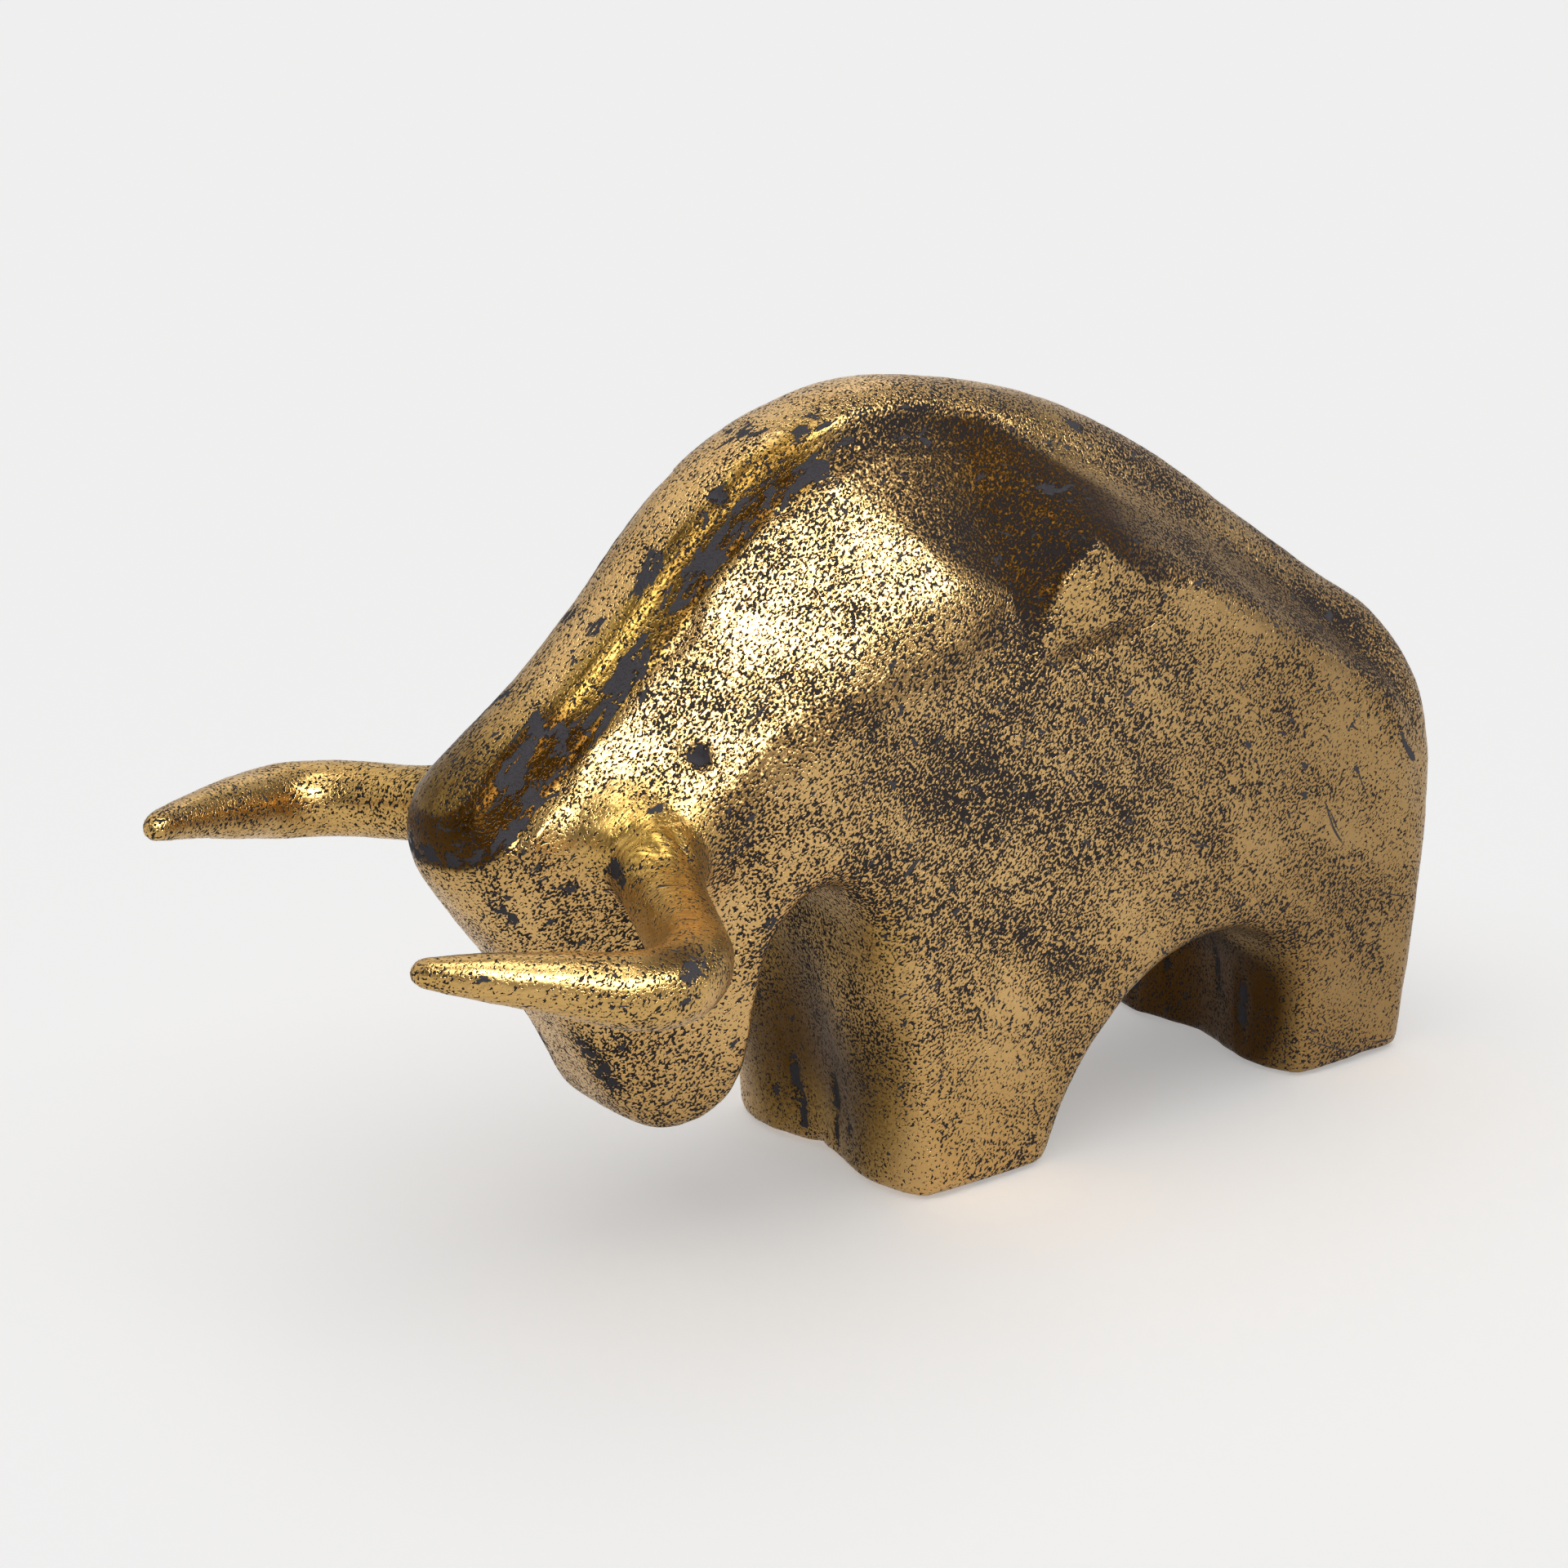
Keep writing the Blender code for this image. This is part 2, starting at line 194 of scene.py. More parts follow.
@dataclass(frozen=True)
class Mark:
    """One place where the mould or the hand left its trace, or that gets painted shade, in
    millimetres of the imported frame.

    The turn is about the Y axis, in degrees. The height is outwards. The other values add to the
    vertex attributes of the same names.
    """

    centre: tuple[float, float, float]
    radii: tuple[float, float, float]
    turn: float = 0.0
    height: float = 0.0
    brushed: float = 0.0
    patina: float = 0.0
    pitted: float = 0.0
    relief: float = 0.0
    shade: float = 0.0
    both_sides: bool = True


@dataclass
class Casting:
    """The bull's skin, from the CAD solid to the relief of the casting.

    Sizes with MM are in metres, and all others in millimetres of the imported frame. A ramp gives
    where a share is 0 and where it is 1. A line's corners are given from front to rear.
    """

    node: str = "bull"
    same_point: float = 0.001 * MM
    voxel: float = 1.18 * MM
    softness: float = 0.5
    rounding: int = 7
    wave_height: float = 0.45 * MM
    wave_size: float = 26.0 * MM
    dimple_height: float = 0.16 * MM
    dimple_size: float = 7.0 * MM
    sand_height: float = 0.10 * MM
    sand_size: float = 2.6 * MM
    noise_start: float = 3.7
    noise_step: float = 5.1
    relief_foot: Ramp = (0.3 * MM, 3.0 * MM)
    carving_foot: Ramp = (0.3, 2.0)

    # the top of the crest in the side view, and the strip, crease, lip and flakes that follow it
    crest_line: Line = (
        (-98.0, 99.0), (-86.0, 109.7), (-71.8, 119.8), (-58.8, 131.8), (-44.0, 146.7),
        (-28.5, 158.5), (-12.0, 165.3), (8.0, 168.0), (31.0, 164.6), (54.0, 157.7),
        (82.0, 143.6), (111.0, 122.8), (131.0, 108.0), (144.5, 97.0), (151.0, 82.0))
    hump_side: Ramp = (30.0, 24.0)
    strip_top: Ramp = (0.8, 2.4)
    strip_bottom: Ramp = (12.0, 10.4)
    strip_end: Ramp = (122.0, 100.0)
    strip_rise: float = -0.9
    rise_top: float = 3.0
    rise_width: float = 7.0
    rise_limit: float = 1.2
    # painted shade on the strip: darker towards its foot and on the forehead, less at a place mid
    # neck
    strip_dark: float = 0.95
    strip_middle: float = 7.0
    darker_per_mm: float = 0.05
    bright_place: float = 47.0
    bright_width: float = 14.0
    bright_share: float = 0.45
    forehead: Ramp = (38.0, 22.0)
    forehead_dark: float = 0.3
    crease_depth: float = 11.2
    crease_waves: tuple[tuple[float, float, float], ...] = ((0.9, 7.0, 0.0), (0.5, 2.9, 1.0))
    crease_front: Ramp = (1.0, 7.0)
    crease_end: Ramp = (150.0, 96.0)
    crease_side: Ramp = (2.0, 5.0)
    crease_wall: Ramp = (1.0, -0.4)
    lip_below: float = 1.9
    lip_width: float = 0.8
    lip_height: float = 0.5
    lip_ripple: tuple[float, float] = (0.45, 4.3)
    flake_above: float = 2.3
    flake_width: float = 2.0
    flake_end: Ramp = (150.0, 110.0)
    flake_ripple: tuple[float, float] = (0.4, 5.1)
    spine_side: Ramp = (16.0, 9.0)
    spine_front: Ramp = (170.0, 200.0)
    spine_foot: float = 80.0

    # the shoulder's facet, and the scaly border under it, which also gets painted shade
    facet_foot: Line = (
        (-62.6, 95.0), (-49.3, 105.7), (-36.7, 113.8), (-18.6, 119.1), (-1.8, 122.6), (14.5, 128.9))
    facet_beyond: tuple[float, float] = (101.0, 129.0)
    facet_edge: Ramp = (-4.0, 0.0)
    facet_rear: Ramp = (20.0, 8.0)
    scale_foot: Ramp = (-11.0, -5.0)
    scale_top: Ramp = (2.5, -1.0)
    scale_front: Ramp = (-66.0, -52.0)
    scale_rear: Ramp = (16.0, 8.0)

    # the saddle, its tip in the groove, and the boss of the haunch that cuts into its lower border
    saddle_foot: Line = (
        (-21.0, 157.0), (-13.6, 151.2), (-1.5, 138.1), (14.0, 127.8), (16.5, 114.0), (20.5, 122.5),
        (26.0, 131.5), (34.0, 137.5), (41.0, 131.5), (51.5, 124.5), (79.0, 114.0), (102.0, 99.0),
        (130.0, 80.0))
    saddle_roof: Line = (
        (-19.6, 163.0), (-7.5, 165.5), (1.0, 166.5), (21.5, 162.5), (39.4, 150.0), (60.0, 136.0),
        (96.0, 119.5), (118.0, 104.5), (134.7, 88.0))
    # painted shade in the saddle, by x; it reaches over the boss's rim and fades at the tip in the
    # groove
    saddle_dark: Line = (
        (-22.0, 0.3), (0.0, 0.75), (16.0, 1.0), (30.0, 1.0), (42.0, 0.9), (60.0, 0.35),
        (130.0, 0.12))
    saddle_fade: Line = ((-20.0, 5.0), (9.0, 3.0), (15.0, 0.9))
    saddle_rim: Line = ((14.0, 0.0), (18.0, 1.4), (44.0, 1.4), (54.0, 0.0))
    saddle_top: Ramp = (-0.5, 4.0)
    saddle_front: Ramp = (-24.0, -14.0)
    saddle_rear: Ramp = (138.0, 120.0)
    saddle_side: Ramp = (5.0, 9.0)
    saddle_sink: float = 0.9
    sink_rear: Ramp = (30.0, 8.0)
    tip_dark: float = 0.45
    tip_height: Ramp = (114.0, 126.0)
    tip_rear: Ramp = (40.0, 60.0)
    boss_side: float = 34.6
    boss_rise: float = 3.5
    boss_rim: Ramp = (1.0, -2.2)
    boss_front: Ramp = (16.0, 18.5)
    boss_rear: Ramp = (50.0, 41.0)
    boss_foot: Ramp = (100.0, 112.0)

    # the horns' centre line, and where their skin starts
    horn_line: tuple[tuple[float, float, float], ...] = (
        (-54.0, 12.0, 89.0), (-60.0, 24.0, 86.5), (-66.5, 36.0, 82.8), (-71.5, 48.5, 80.3),
        (-79.0, 60.5, 79.7), (-90.5, 65.8, 80.2), (-105.0, 61.0, 83.0), (-119.0, 54.6, 85.8),
        (-129.8, 48.8, 87.8))
    horn_side: Ramp = (26.0, 32.0)
    horn_front: Ramp = (-58.0, -64.0)
    horn_skin: Ramp = (16.0, 12.0)

    # round zones, by their x and z: the root of the horn, and the densest pits of the flank
    root_place: tuple[float, float] = (-74.0, 94.0)
    root_size: tuple[float, float] = (13.0, 10.0)
    dense_place: tuple[float, float] = (12.0, 85.0)
    dense_size: tuple[float, float] = (55.0, 38.0)

    # painted shade that grows slowly towards the rear and towards the feet
    rear_fade: Ramp = (10.0, 110.0)
    feet_fade: Ramp = (60.0, 20.0)

    # what each zone adds to the vertex attributes; all are kept from 0 to 1, but pitted from here
    least_pitted: float = -2.0
    finish: tuple[tuple[Zone, Place, float], ...] = (
        (Zone.STRIP, Place.BRUSHED, 1.0), (Zone.HORN, Place.BRUSHED, 0.3),
        (Zone.ROOT, Place.BRUSHED, 0.6),
        (Zone.FLAKES, Place.PATINA, 0.75), (Zone.STRIP, Place.PATINA, 0.22),
        (Zone.DENSE, Place.PITTED, 0.95), (Zone.REAR, Place.PITTED, -0.15),
        (Zone.SADDLE, Place.PITTED, 0.6), (Zone.STRIP, Place.PITTED, -0.9),
        (Zone.HORN, Place.PITTED, -0.45), (Zone.ROOT, Place.PITTED, -0.4),
        (Zone.RIDGE, Place.PITTED, -0.2), (Zone.SPINE, Place.PITTED, 0.6),
        (Zone.CASTING, Place.RELIEF, 0.30), (Zone.SCALES_AND_SHADE, Place.RELIEF, 0.70),
        (Zone.SADDLE, Place.RELIEF, 0.6), (Zone.FACET, Place.RELIEF, 0.2),
        (Zone.SPINE, Place.RELIEF, 0.4),
        # the shade rows are painted shade
        (Zone.STRIP_SHADE, Place.SHADE, 1.0), (Zone.REAR, Place.SHADE, 0.42),
        (Zone.SCALES_AND_SHADE, Place.SHADE, 0.5), (Zone.FEET, Place.SHADE, 0.12),
        (Zone.SADDLE_SHADE, Place.SHADE, 1.0))

    marks: tuple[Mark, ...] = (
        # the haunch's smooth boss, and the fold under it, with painted shade in the fold
        Mark((29.0, 33.0, 124.0), (10.0, 9.0, 8.0), brushed=0.15, pitted=-0.35),
        Mark((33.0, 35.0, 114.5), (17.0, 9.0, 2.6), turn=8.0, height=-0.8, relief=0.8, shade=0.65),
        # the flare and the folds at the root of the horn
        Mark((-77.5, 25.0, 94.0), (10.0, 8.5, 8.0), height=2.3, brushed=0.3, pitted=-0.4),
        Mark((-77.0, 32.0, 94.0), (1.3, 6.0, 8.0), height=-0.7),
        Mark((-71.0, 33.0, 95.0), (1.2, 6.0, 8.0), height=-0.6),
        # hollows of the throat, leg fronts and backs, and belly: coarse file marks, painted shade,
        # and a warm brushed tint that is partly a painted reflection of the brass around them
        Mark((-20.0, 0.0, 60.0), (11.0, 36.0, 14.0), brushed=1.0, pitted=-0.3, shade=0.5),
        Mark((-14.0, 0.0, 28.0), (5.5, 32.0, 36.0), brushed=1.0, pitted=-0.3, shade=0.85),
        Mark((27.0, 0.0, 14.0), (6.0, 28.0, 20.0), brushed=1.0, pitted=-0.3, shade=0.8),
        Mark((96.0, 0.0, 16.0), (6.0, 30.0, 26.0), brushed=1.0, pitted=-0.3, shade=1.0),
        Mark((68.0, 0.0, 38.0), (28.0, 27.0, 9.0), brushed=1.0, pitted=-0.3, shade=0.8),
        # the forehead, brushed, with painted shade
        Mark((-104.0, 0.0, 101.0), (13.0, 16.0, 12.0), brushed=0.4, shade=0.35),
        Mark((-98.0, 0.0, 104.0), (22.0, 18.0, 19.0), brushed=0.4, shade=0.4),
        # flakes of the casting skin on the brushed strip
        Mark((-58.7, -8.0, 139.9), (5.0, 4.0, 1.2), turn=50.0, patina=0.6),
        Mark((-67.5, -12.0, 123.5), (8.0, 4.5, 1.4), turn=52.0, patina=0.7),
        Mark((-70.0, -5.0, 130.0), (3.0, 3.0, 1.0), turn=40.0, patina=0.6),
        Mark((-92.0, -10.0, 108.0), (10.0, 4.5, 1.4), turn=48.0, patina=0.7),
        Mark((-87.0, -6.0, 113.5), (6.0, 3.0, 0.9), turn=58.0, patina=0.6),
        Mark((-30.4, -3.0, 162.7), (4.0, 3.5, 1.6), turn=15.0, patina=0.5),
        # the pit in the strip, and the round pit behind the horn with its raised rim; patina and
        # painted shade fill the pits
        Mark((-43.1, -9.0, 152.8), (1.8, 2.4, 1.8), height=-0.8, patina=1.0, pitted=1.0,
             shade=1.0),
        Mark((-60.6, -24.8, 107.4), (3.4, 4.0, 3.4), height=0.7, both_sides=False),
        Mark((-59.8, -24.8, 106.5), (2.2, 4.0, 2.2), height=-1.9, patina=1.0, pitted=1.0,
             shade=1.0, both_sides=False),
        # dark patches on the facet, the cheek and the root of the horn
        Mark((-47.0, -21.0, 134.0), (7.0, 6.0, 3.5), turn=10.0, patina=0.25),
        Mark((-97.0, -11.5, 79.0), (9.0, 4.0, 1.7), turn=-62.0, patina=0.5),
        Mark((-93.0, -15.0, 88.0), (7.0, 4.0, 1.8), turn=-55.0, patina=0.4),
        Mark((-86.3, -19.0, 85.8), (4.0, 4.0, 1.6), turn=70.0, patina=0.5),
        Mark((-80.5, -28.0, 88.2), (3.0, 4.0, 2.2), turn=20.0, patina=0.9),
        # dark grooves on the side of the muzzle
        Mark((-75.5, -12.0, 41.0), (10.0, 6.0, 1.5), turn=-58.0, height=-0.4, patina=0.7),
        Mark((-82.0, -11.0, 47.0), (9.0, 6.0, 1.2), turn=-58.0, patina=0.55),
        Mark((-74.0, -16.0, 48.0), (7.0, 5.0, 1.0), turn=-58.0, patina=0.5),
        # dents and shade at the bend of the left horn
        Mark((-97.1, -73.1, 81.4), (2.8, 4.0, 1.6), turn=30.0, height=-0.3, patina=0.6,
             both_sides=False),
        Mark((-96.0, -70.0, 88.5), (9.0, 6.0, 2.2), height=-0.4, shade=0.8, both_sides=False),
        Mark((-95.0, -71.0, 85.8), (4.5, 5.0, 2.0), turn=10.0, height=-0.3, patina=0.8,
             both_sides=False),
        # patches along the top of the hump and in the saddle
        Mark((-23.0, -9.0, 162.2), (3.0, 3.0, 1.2), turn=30.0, patina=0.5, both_sides=False),
        Mark((-16.6, -7.0, 165.4), (3.0, 3.0, 1.3), turn=20.0, patina=0.5, both_sides=False),
        Mark((4.0, -10.6, 163.6), (5.0, 3.0, 1.6), patina=0.4),
        Mark((16.0, -7.5, 164.6), (6.0, 4.0, 2.2), turn=-10.0, patina=0.25),
        Mark((35.0, -7.0, 160.0), (7.0, 4.0, 2.0), turn=-20.0, patina=0.3),
        Mark((48.1, -10.5, 153.4), (3.6, 3.0, 1.2), turn=-30.0, patina=0.9, both_sides=False),
        Mark((31.4, -22.8, 144.8), (4.0, 4.0, 2.2), turn=-10.0, patina=0.5, both_sides=False),
        # black runs down the fronts of the front and the rear legs
        Mark((-11.4, -9.0, 27.0), (2.5, 1.0, 5.0), height=-0.5, patina=0.9),
        Mark((-11.4, -7.0, 17.0), (2.5, 1.5, 6.0), height=-0.6, patina=1.0),
        Mark((-10.7, -5.6, 8.0), (2.5, 1.1, 5.0), height=-0.5, patina=1.0),
        Mark((-10.7, -13.0, 12.0), (2.5, 1.3, 4.0), height=-0.4, patina=0.9),
        Mark((-11.4, -18.0, 21.0), (2.5, 1.0, 5.0), height=-0.4, patina=0.7),
        Mark((-14.0, -14.0, 34.0), (3.0, 1.0, 5.0), height=-0.5, patina=0.8),
        Mark((95.4, -18.0, 14.0), (2.5, 2.0, 9.0), height=-0.5, patina=0.9),
        Mark((95.4, -8.0, 18.0), (2.5, 1.6, 10.0), height=-0.4, patina=0.9),
        # the front legs' outer sides are worn smoother than the flank
        Mark((4.0, 0.0, 18.0), (26.0, 45.0, 24.0), brushed=0.15, pitted=-0.45),
    )

    def build(self) -> bpy.types.Object:
        """Make the skin.

        Returns:
            Mesh object of the casting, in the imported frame.
        """
        skin = self._even_skin()
        place = self._read(skin, "co") / MM
        normal = self._read(skin, "normal")
        self._store_finish(skin, place)
        self._carve(skin, place, normal)
        self._sand_relief(skin)
        skin.data.polygons.foreach_set("use_smooth", [True] * len(skin.data.polygons))
        return skin

    def _even_skin(self) -> bpy.types.Object:
        """Copy the CAD solid with its facets rounded and an even, fine mesh."""
        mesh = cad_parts[self.node].data.copy()
        mesh.materials.clear()
        cage = bmesh.new()
        cage.from_mesh(mesh)
        bmesh.ops.remove_doubles(cage, verts=cage.verts, dist=self.same_point)
        bmesh.ops.recalc_face_normals(cage, faces=cage.faces)
        cage.to_mesh(mesh)
        cage.free()
        skin = add_object("brass_casting", mesh)
        round_off = skin.modifiers.new("round off facets", "SUBSURF")
        round_off.levels = 1
        round_off.render_levels = 1
        even = skin.modifiers.new("even skin", "REMESH")
        even.mode = "VOXEL"
        even.voxel_size = self.voxel
        soften = skin.modifiers.new("soften", "SMOOTH")
        soften.factor = self.softness
        soften.iterations = self.rounding
        self._apply(skin)
        return skin

    @staticmethod
    def _apply(skin: bpy.types.Object) -> None:
        """Turn the skin with its modifiers into a plain mesh."""
        graph = bpy.context.evaluated_depsgraph_get()
        mesh = bpy.data.meshes.new_from_object(skin.evaluated_get(graph))
        skin.modifiers.clear()
        old = skin.data
        skin.data = mesh
        bpy.data.meshes.remove(old)

    @staticmethod
    def _read(skin: bpy.types.Object, name: str) -> np.ndarray:
        """Read a vector of each point of the skin, such as its place, as rows of three."""
        flat = np.empty(len(skin.data.vertices) * 3)
        skin.data.vertices.foreach_get(name, flat)
        return flat.reshape(-1, 3)

    @staticmethod
    def _follow(place: np.ndarray, line: np.ndarray) -> tuple[np.ndarray, np.ndarray]:
        """Distance from points to a line of points, and how far along the line they are.

        Args:
            place: Points, one in each row.
            line: Corners of the line, with as many columns.

        Returns:
            Distance and length along the line, in the units given.
        """
        best = np.full(len(place), np.inf)
        along = np.zeros(len(place))
        start_length = 0.0
        for start, end in zip(line[:-1], line[1:]):
            step = end - start
            length = float(np.linalg.norm(step))
            share = np.clip(((place - start) @ step) / length ** 2, 0.0, 1.0)
            gap = np.linalg.norm(place - start - share[:, None] * step, axis=1)
            closer = gap < best
            best = np.where(closer, gap, best)
            along = np.where(closer, start_length + share * length, along)
            start_length += length
        return best, along

    def _crest(self, place: np.ndarray) -> tuple[np.ndarray, np.ndarray]:
        """Depth below the top of the crest in the side view, and length along it."""
        line = np.array(self.crest_line) + np.array((PATTERN_SHIFT[0], PATTERN_SHIFT[2]))
        return self._follow(place[:, [0, 2]], line)

    def _horn(self, place: np.ndarray) -> tuple[np.ndarray, np.ndarray]:
        """Distance from the centre line of the nearer horn, and length along it."""
        folded = place.copy()
        folded[:, 1] = np.abs(folded[:, 1])
        return self._follow(folded, np.array(self.horn_line) + np.array(PATTERN_SHIFT))

    @staticmethod
    def _round(
        place: np.ndarray, middle: tuple[float, float], size: tuple[float, float]
    ) -> np.ndarray:
        """Share of a round zone in the side view at each point."""
        return bell(place[:, 0], middle[0], size[0]) * bell(place[:, 2], middle[1], size[1])

    def _on_horn(self, place: np.ndarray) -> np.ndarray:
        """Share of the horns at each point."""
        share = smooth_step(*self.horn_side, np.abs(place[:, 1]))
        share = share * smooth_step(*self.horn_front, place[:, 0])
        return share * smooth_step(*self.horn_skin, self._horn(place)[0])

    def _grain(self, place: np.ndarray) -> np.ndarray:
        """Places of the points unrolled along the crest or the horn, for patterns with a grain."""
        x, y, z = place.T
        depth, along = self._crest(place)
        on_crest = np.stack((along, depth, y), axis=1)
        on_horn = np.stack((self._horn(place)[1], z, y + x), axis=1)
        return np.where(self._on_horn(place)[:, None] > 0.5, on_horn, on_crest)

    def _zones(self, place: np.ndarray) -> dict[Zone, np.ndarray]:
        """Say how far each point belongs to each zone of the finish.

        Args:
            place: Points in millimetres.

        Returns:
            For each zone, its share at each point, or how much painted shade the metal gets there.
        """
        x, y, z = place.T
        depth, along = self._crest(place)
        on_hump = smooth_step(*self.hump_side, np.abs(y))
        strip = self._strip(depth, along) * on_hump
        flakes = bell(depth, self._crease(along) - self.flake_above, self.flake_width)
        flakes = flakes * smooth_step(*self.flake_end, along) * ripple(along, *self.flake_ripple)
        spine = smooth_step(*self.spine_side, depth) * smooth_step(*self.spine_front, along)
        foot_gap = self._above_foot(place)
        # the scaly border under the facet carries relief and painted shade
        scales = smooth_step(*self.scale_foot, foot_gap) * smooth_step(*self.scale_top, foot_gap)
        scales = scales * smooth_step(*self.scale_front, x) * smooth_step(*self.scale_rear, x)
        saddle, saddle_shade = self._saddle(place)
        facet = smooth_step(*self.facet_edge, foot_gap) * smooth_step(*self.facet_rear, x)
        facet = facet * (1.0 - saddle)
        return {
            Zone.CASTING: np.ones(len(place)),
            Zone.STRIP: strip,
            Zone.STRIP_SHADE: strip * self._strip_shade(depth, along),
            Zone.RIDGE: (1.0 - smooth_step(*self.strip_top, depth)) * on_hump,
            Zone.FLAKES: flakes * on_hump,
            Zone.SPINE: spine * (z > self.spine_foot),
            Zone.HORN: self._on_horn(place),
            Zone.ROOT: self._round(place, self.root_place, self.root_size),
            Zone.FACET: facet,
            Zone.SCALES_AND_SHADE: scales,
            Zone.DENSE: self._round(place, self.dense_place, self.dense_size) * (1.0 - facet),
            Zone.REAR: smooth_step(*self.rear_fade, x),
            Zone.FEET: smooth_step(*self.feet_fade, z),
            Zone.SADDLE: saddle,
            Zone.SADDLE_SHADE: saddle_shade,
        }

    def _store_finish(self, skin: bpy.types.Object, place: np.ndarray) -> None:
        """Say where the skin is brushed, pitted and patinated, how much painted shade it gets, and
        which way its grain runs.

        Args:
            skin: Object that gets the attributes.
            place: Its points in millimetres.
        """
        grain = skin.data.attributes.new(Place.GRAIN.value, "FLOAT_VECTOR", "POINT")
        grain.data.foreach_set("vector", (self._grain(place) * MM).astype(np.float32).ravel())
        values = {kind: np.zeros(len(place)) for kind in Place if kind is not Place.GRAIN}
        zones = self._zones(place)
        for zone, kind, amount in self.finish:
            values[kind] += amount * zones[zone]
        for mark in self.marks:
            reach = self._reach(mark, place)
            for kind in values:
                values[kind] += getattr(mark, kind.value) * reach
        for kind, value in values.items():
            low = self.least_pitted if kind is Place.PITTED else 0.0
            layer = skin.data.attributes.new(kind.value, "FLOAT", "POINT")
            layer.data.foreach_set("value", np.clip(value, low, 1.0).astype(np.float32))

    def _strip(self, depth: np.ndarray, along: np.ndarray) -> np.ndarray:
        """Share of the brushed strip below the crest, on hump and neck."""
        across = smooth_step(*self.strip_top, depth) * smooth_step(*self.strip_bottom, depth)
        return across * smooth_step(*self.strip_end, along)

    def _strip_shade(self, depth: np.ndarray, along: np.ndarray) -> np.ndarray:
        """Painted shade on the strip: more towards its foot and the forehead, less at mid neck."""
        shade = self.strip_dark + self.darker_per_mm * (depth - self.strip_middle)
        shade = shade - self.bright_share * bell(along, self.bright_place, self.bright_width)
        return shade + self.forehead_dark * smooth_step(*self.forehead, along)

    def _crease(self, along: np.ndarray) -> np.ndarray:
        """Depth of the wandering crease below the crest, in millimetres."""
        depth = np.full(len(along), self.crease_depth)
        for swing, wave, phase in self.crease_waves:
            depth = depth + swing * np.sin(along / wave + phase)
        return depth

    def _saddle(self, place: np.ndarray) -> tuple[np.ndarray, np.ndarray]:
        """Share of the saddle between hump and haunch at each point, and how much painted shade it
        gets there.
        """
        x, y, z = place.T
        fade = read_line(self.saddle_fade, x)
        over_foot = z - read_line(self.saddle_foot, x) + read_line(self.saddle_rim, x)
        share = smooth_step(-fade, fade, over_foot)
        share = share * smooth_step(*self.saddle_top, read_line(self.saddle_roof, x) - z)
        share = share * smooth_step(*self.saddle_front, x) * smooth_step(*self.saddle_rear, x)
        share = share * smooth_step(*self.saddle_side, np.abs(y))
        above_tip = smooth_step(*self.tip_height, z) + smooth_step(*self.tip_rear, x)
        tip = np.minimum(self.tip_dark + (1.0 - self.tip_dark) * above_tip, 1.0)
        return share, share * read_line(self.saddle_dark, x) * tip

    def _above_foot(self, place: np.ndarray) -> np.ndarray:
        """Height above the lower border of the shoulder's facet, in millimetres."""
        foot = np.array(self.facet_foot)
        before, behind = self.facet_beyond
        return place[:, 2] - np.interp(
            place[:, 0], foot[:, 0], foot[:, 1], left=before, right=behind)

    @staticmethod
    def _reach(mark: Mark, place: np.ndarray) -> np.ndarray:
        """How far each point is inside a mark, from 0 to 1, with a flat middle."""
        turn = math.radians(mark.turn)
        dx = place[:, 0] - mark.centre[0]
        dz = place[:, 2] - mark.centre[2]
        along = dx * math.cos(turn) + dz * math.sin(turn)
        up = -dx * math.sin(turn) + dz * math.cos(turn)
        side = place[:, 1] - mark.centre[1]
        if mark.both_sides:
            side = np.abs(place[:, 1]) - abs(mark.centre[1])
        square = (along / mark.radii[0]) ** 2 + (side / mark.radii[1]) ** 2
        return np.exp(-(square + (up / mark.radii[2]) ** 2) ** 2)

    def _carve(self, skin: bpy.types.Object, place: np.ndarray, normal: np.ndarray) -> None:
        """Raise and sink the skin at the crest's crease and at each mark.

        Args:
            skin: Object to change.
            place: Its points in millimetres.
            normal: Outward directions at its points.
        """
        x, y, z = place.T
        depth, along = self._crest(place)
        neck = smooth_step(*self.crease_end, along) * smooth_step(*self.crease_front, along)
        neck = neck * smooth_step(*self.crease_side, np.abs(y))
        neck = neck * smooth_step(*self.hump_side, np.abs(y))
        below = depth - self._crease(along)
        ramp = np.clip((depth - self.rise_top) / self.rise_width, 0.0, self.rise_limit)
        ramp = ramp * smooth_step(*self.crease_wall, below)
        lip = bell(below, self.lip_below, self.lip_width) * ripple(along, *self.lip_ripple)
        shift = neck * (self.strip_rise * ramp + self.lip_height * lip)
        hollow = self._saddle(place)[0] * smooth_step(*self.sink_rear, x)
        shift = shift - self.saddle_sink * hollow
        for mark in self.marks:
            if mark.height:
                shift = shift + mark.height * self._reach(mark, place)
        shift = shift * smooth_step(*self.carving_foot, z)
        moved = place + normal * shift[:, None]
        moved[:, 1] += self._boss(place)
        skin.data.vertices.foreach_set("co", (moved * MM).ravel())
        skin.data.update()

    def _boss(self, place: np.ndarray) -> np.ndarray:
        """Sideways shift that brings the haunch's boss flush with the flank, with a crisp rim."""
        x, y, z = place.T
        inside = smooth_step(*self.boss_rim, z - read_line(self.saddle_foot, x))
        inside = inside * smooth_step(*self.boss_front, x) * smooth_step(*self.boss_rear, x)
        inside = inside * smooth_step(*self.boss_foot, z)
        return np.sign(y) * np.clip(self.boss_side - np.abs(y), 0.0, self.boss_rise) * inside

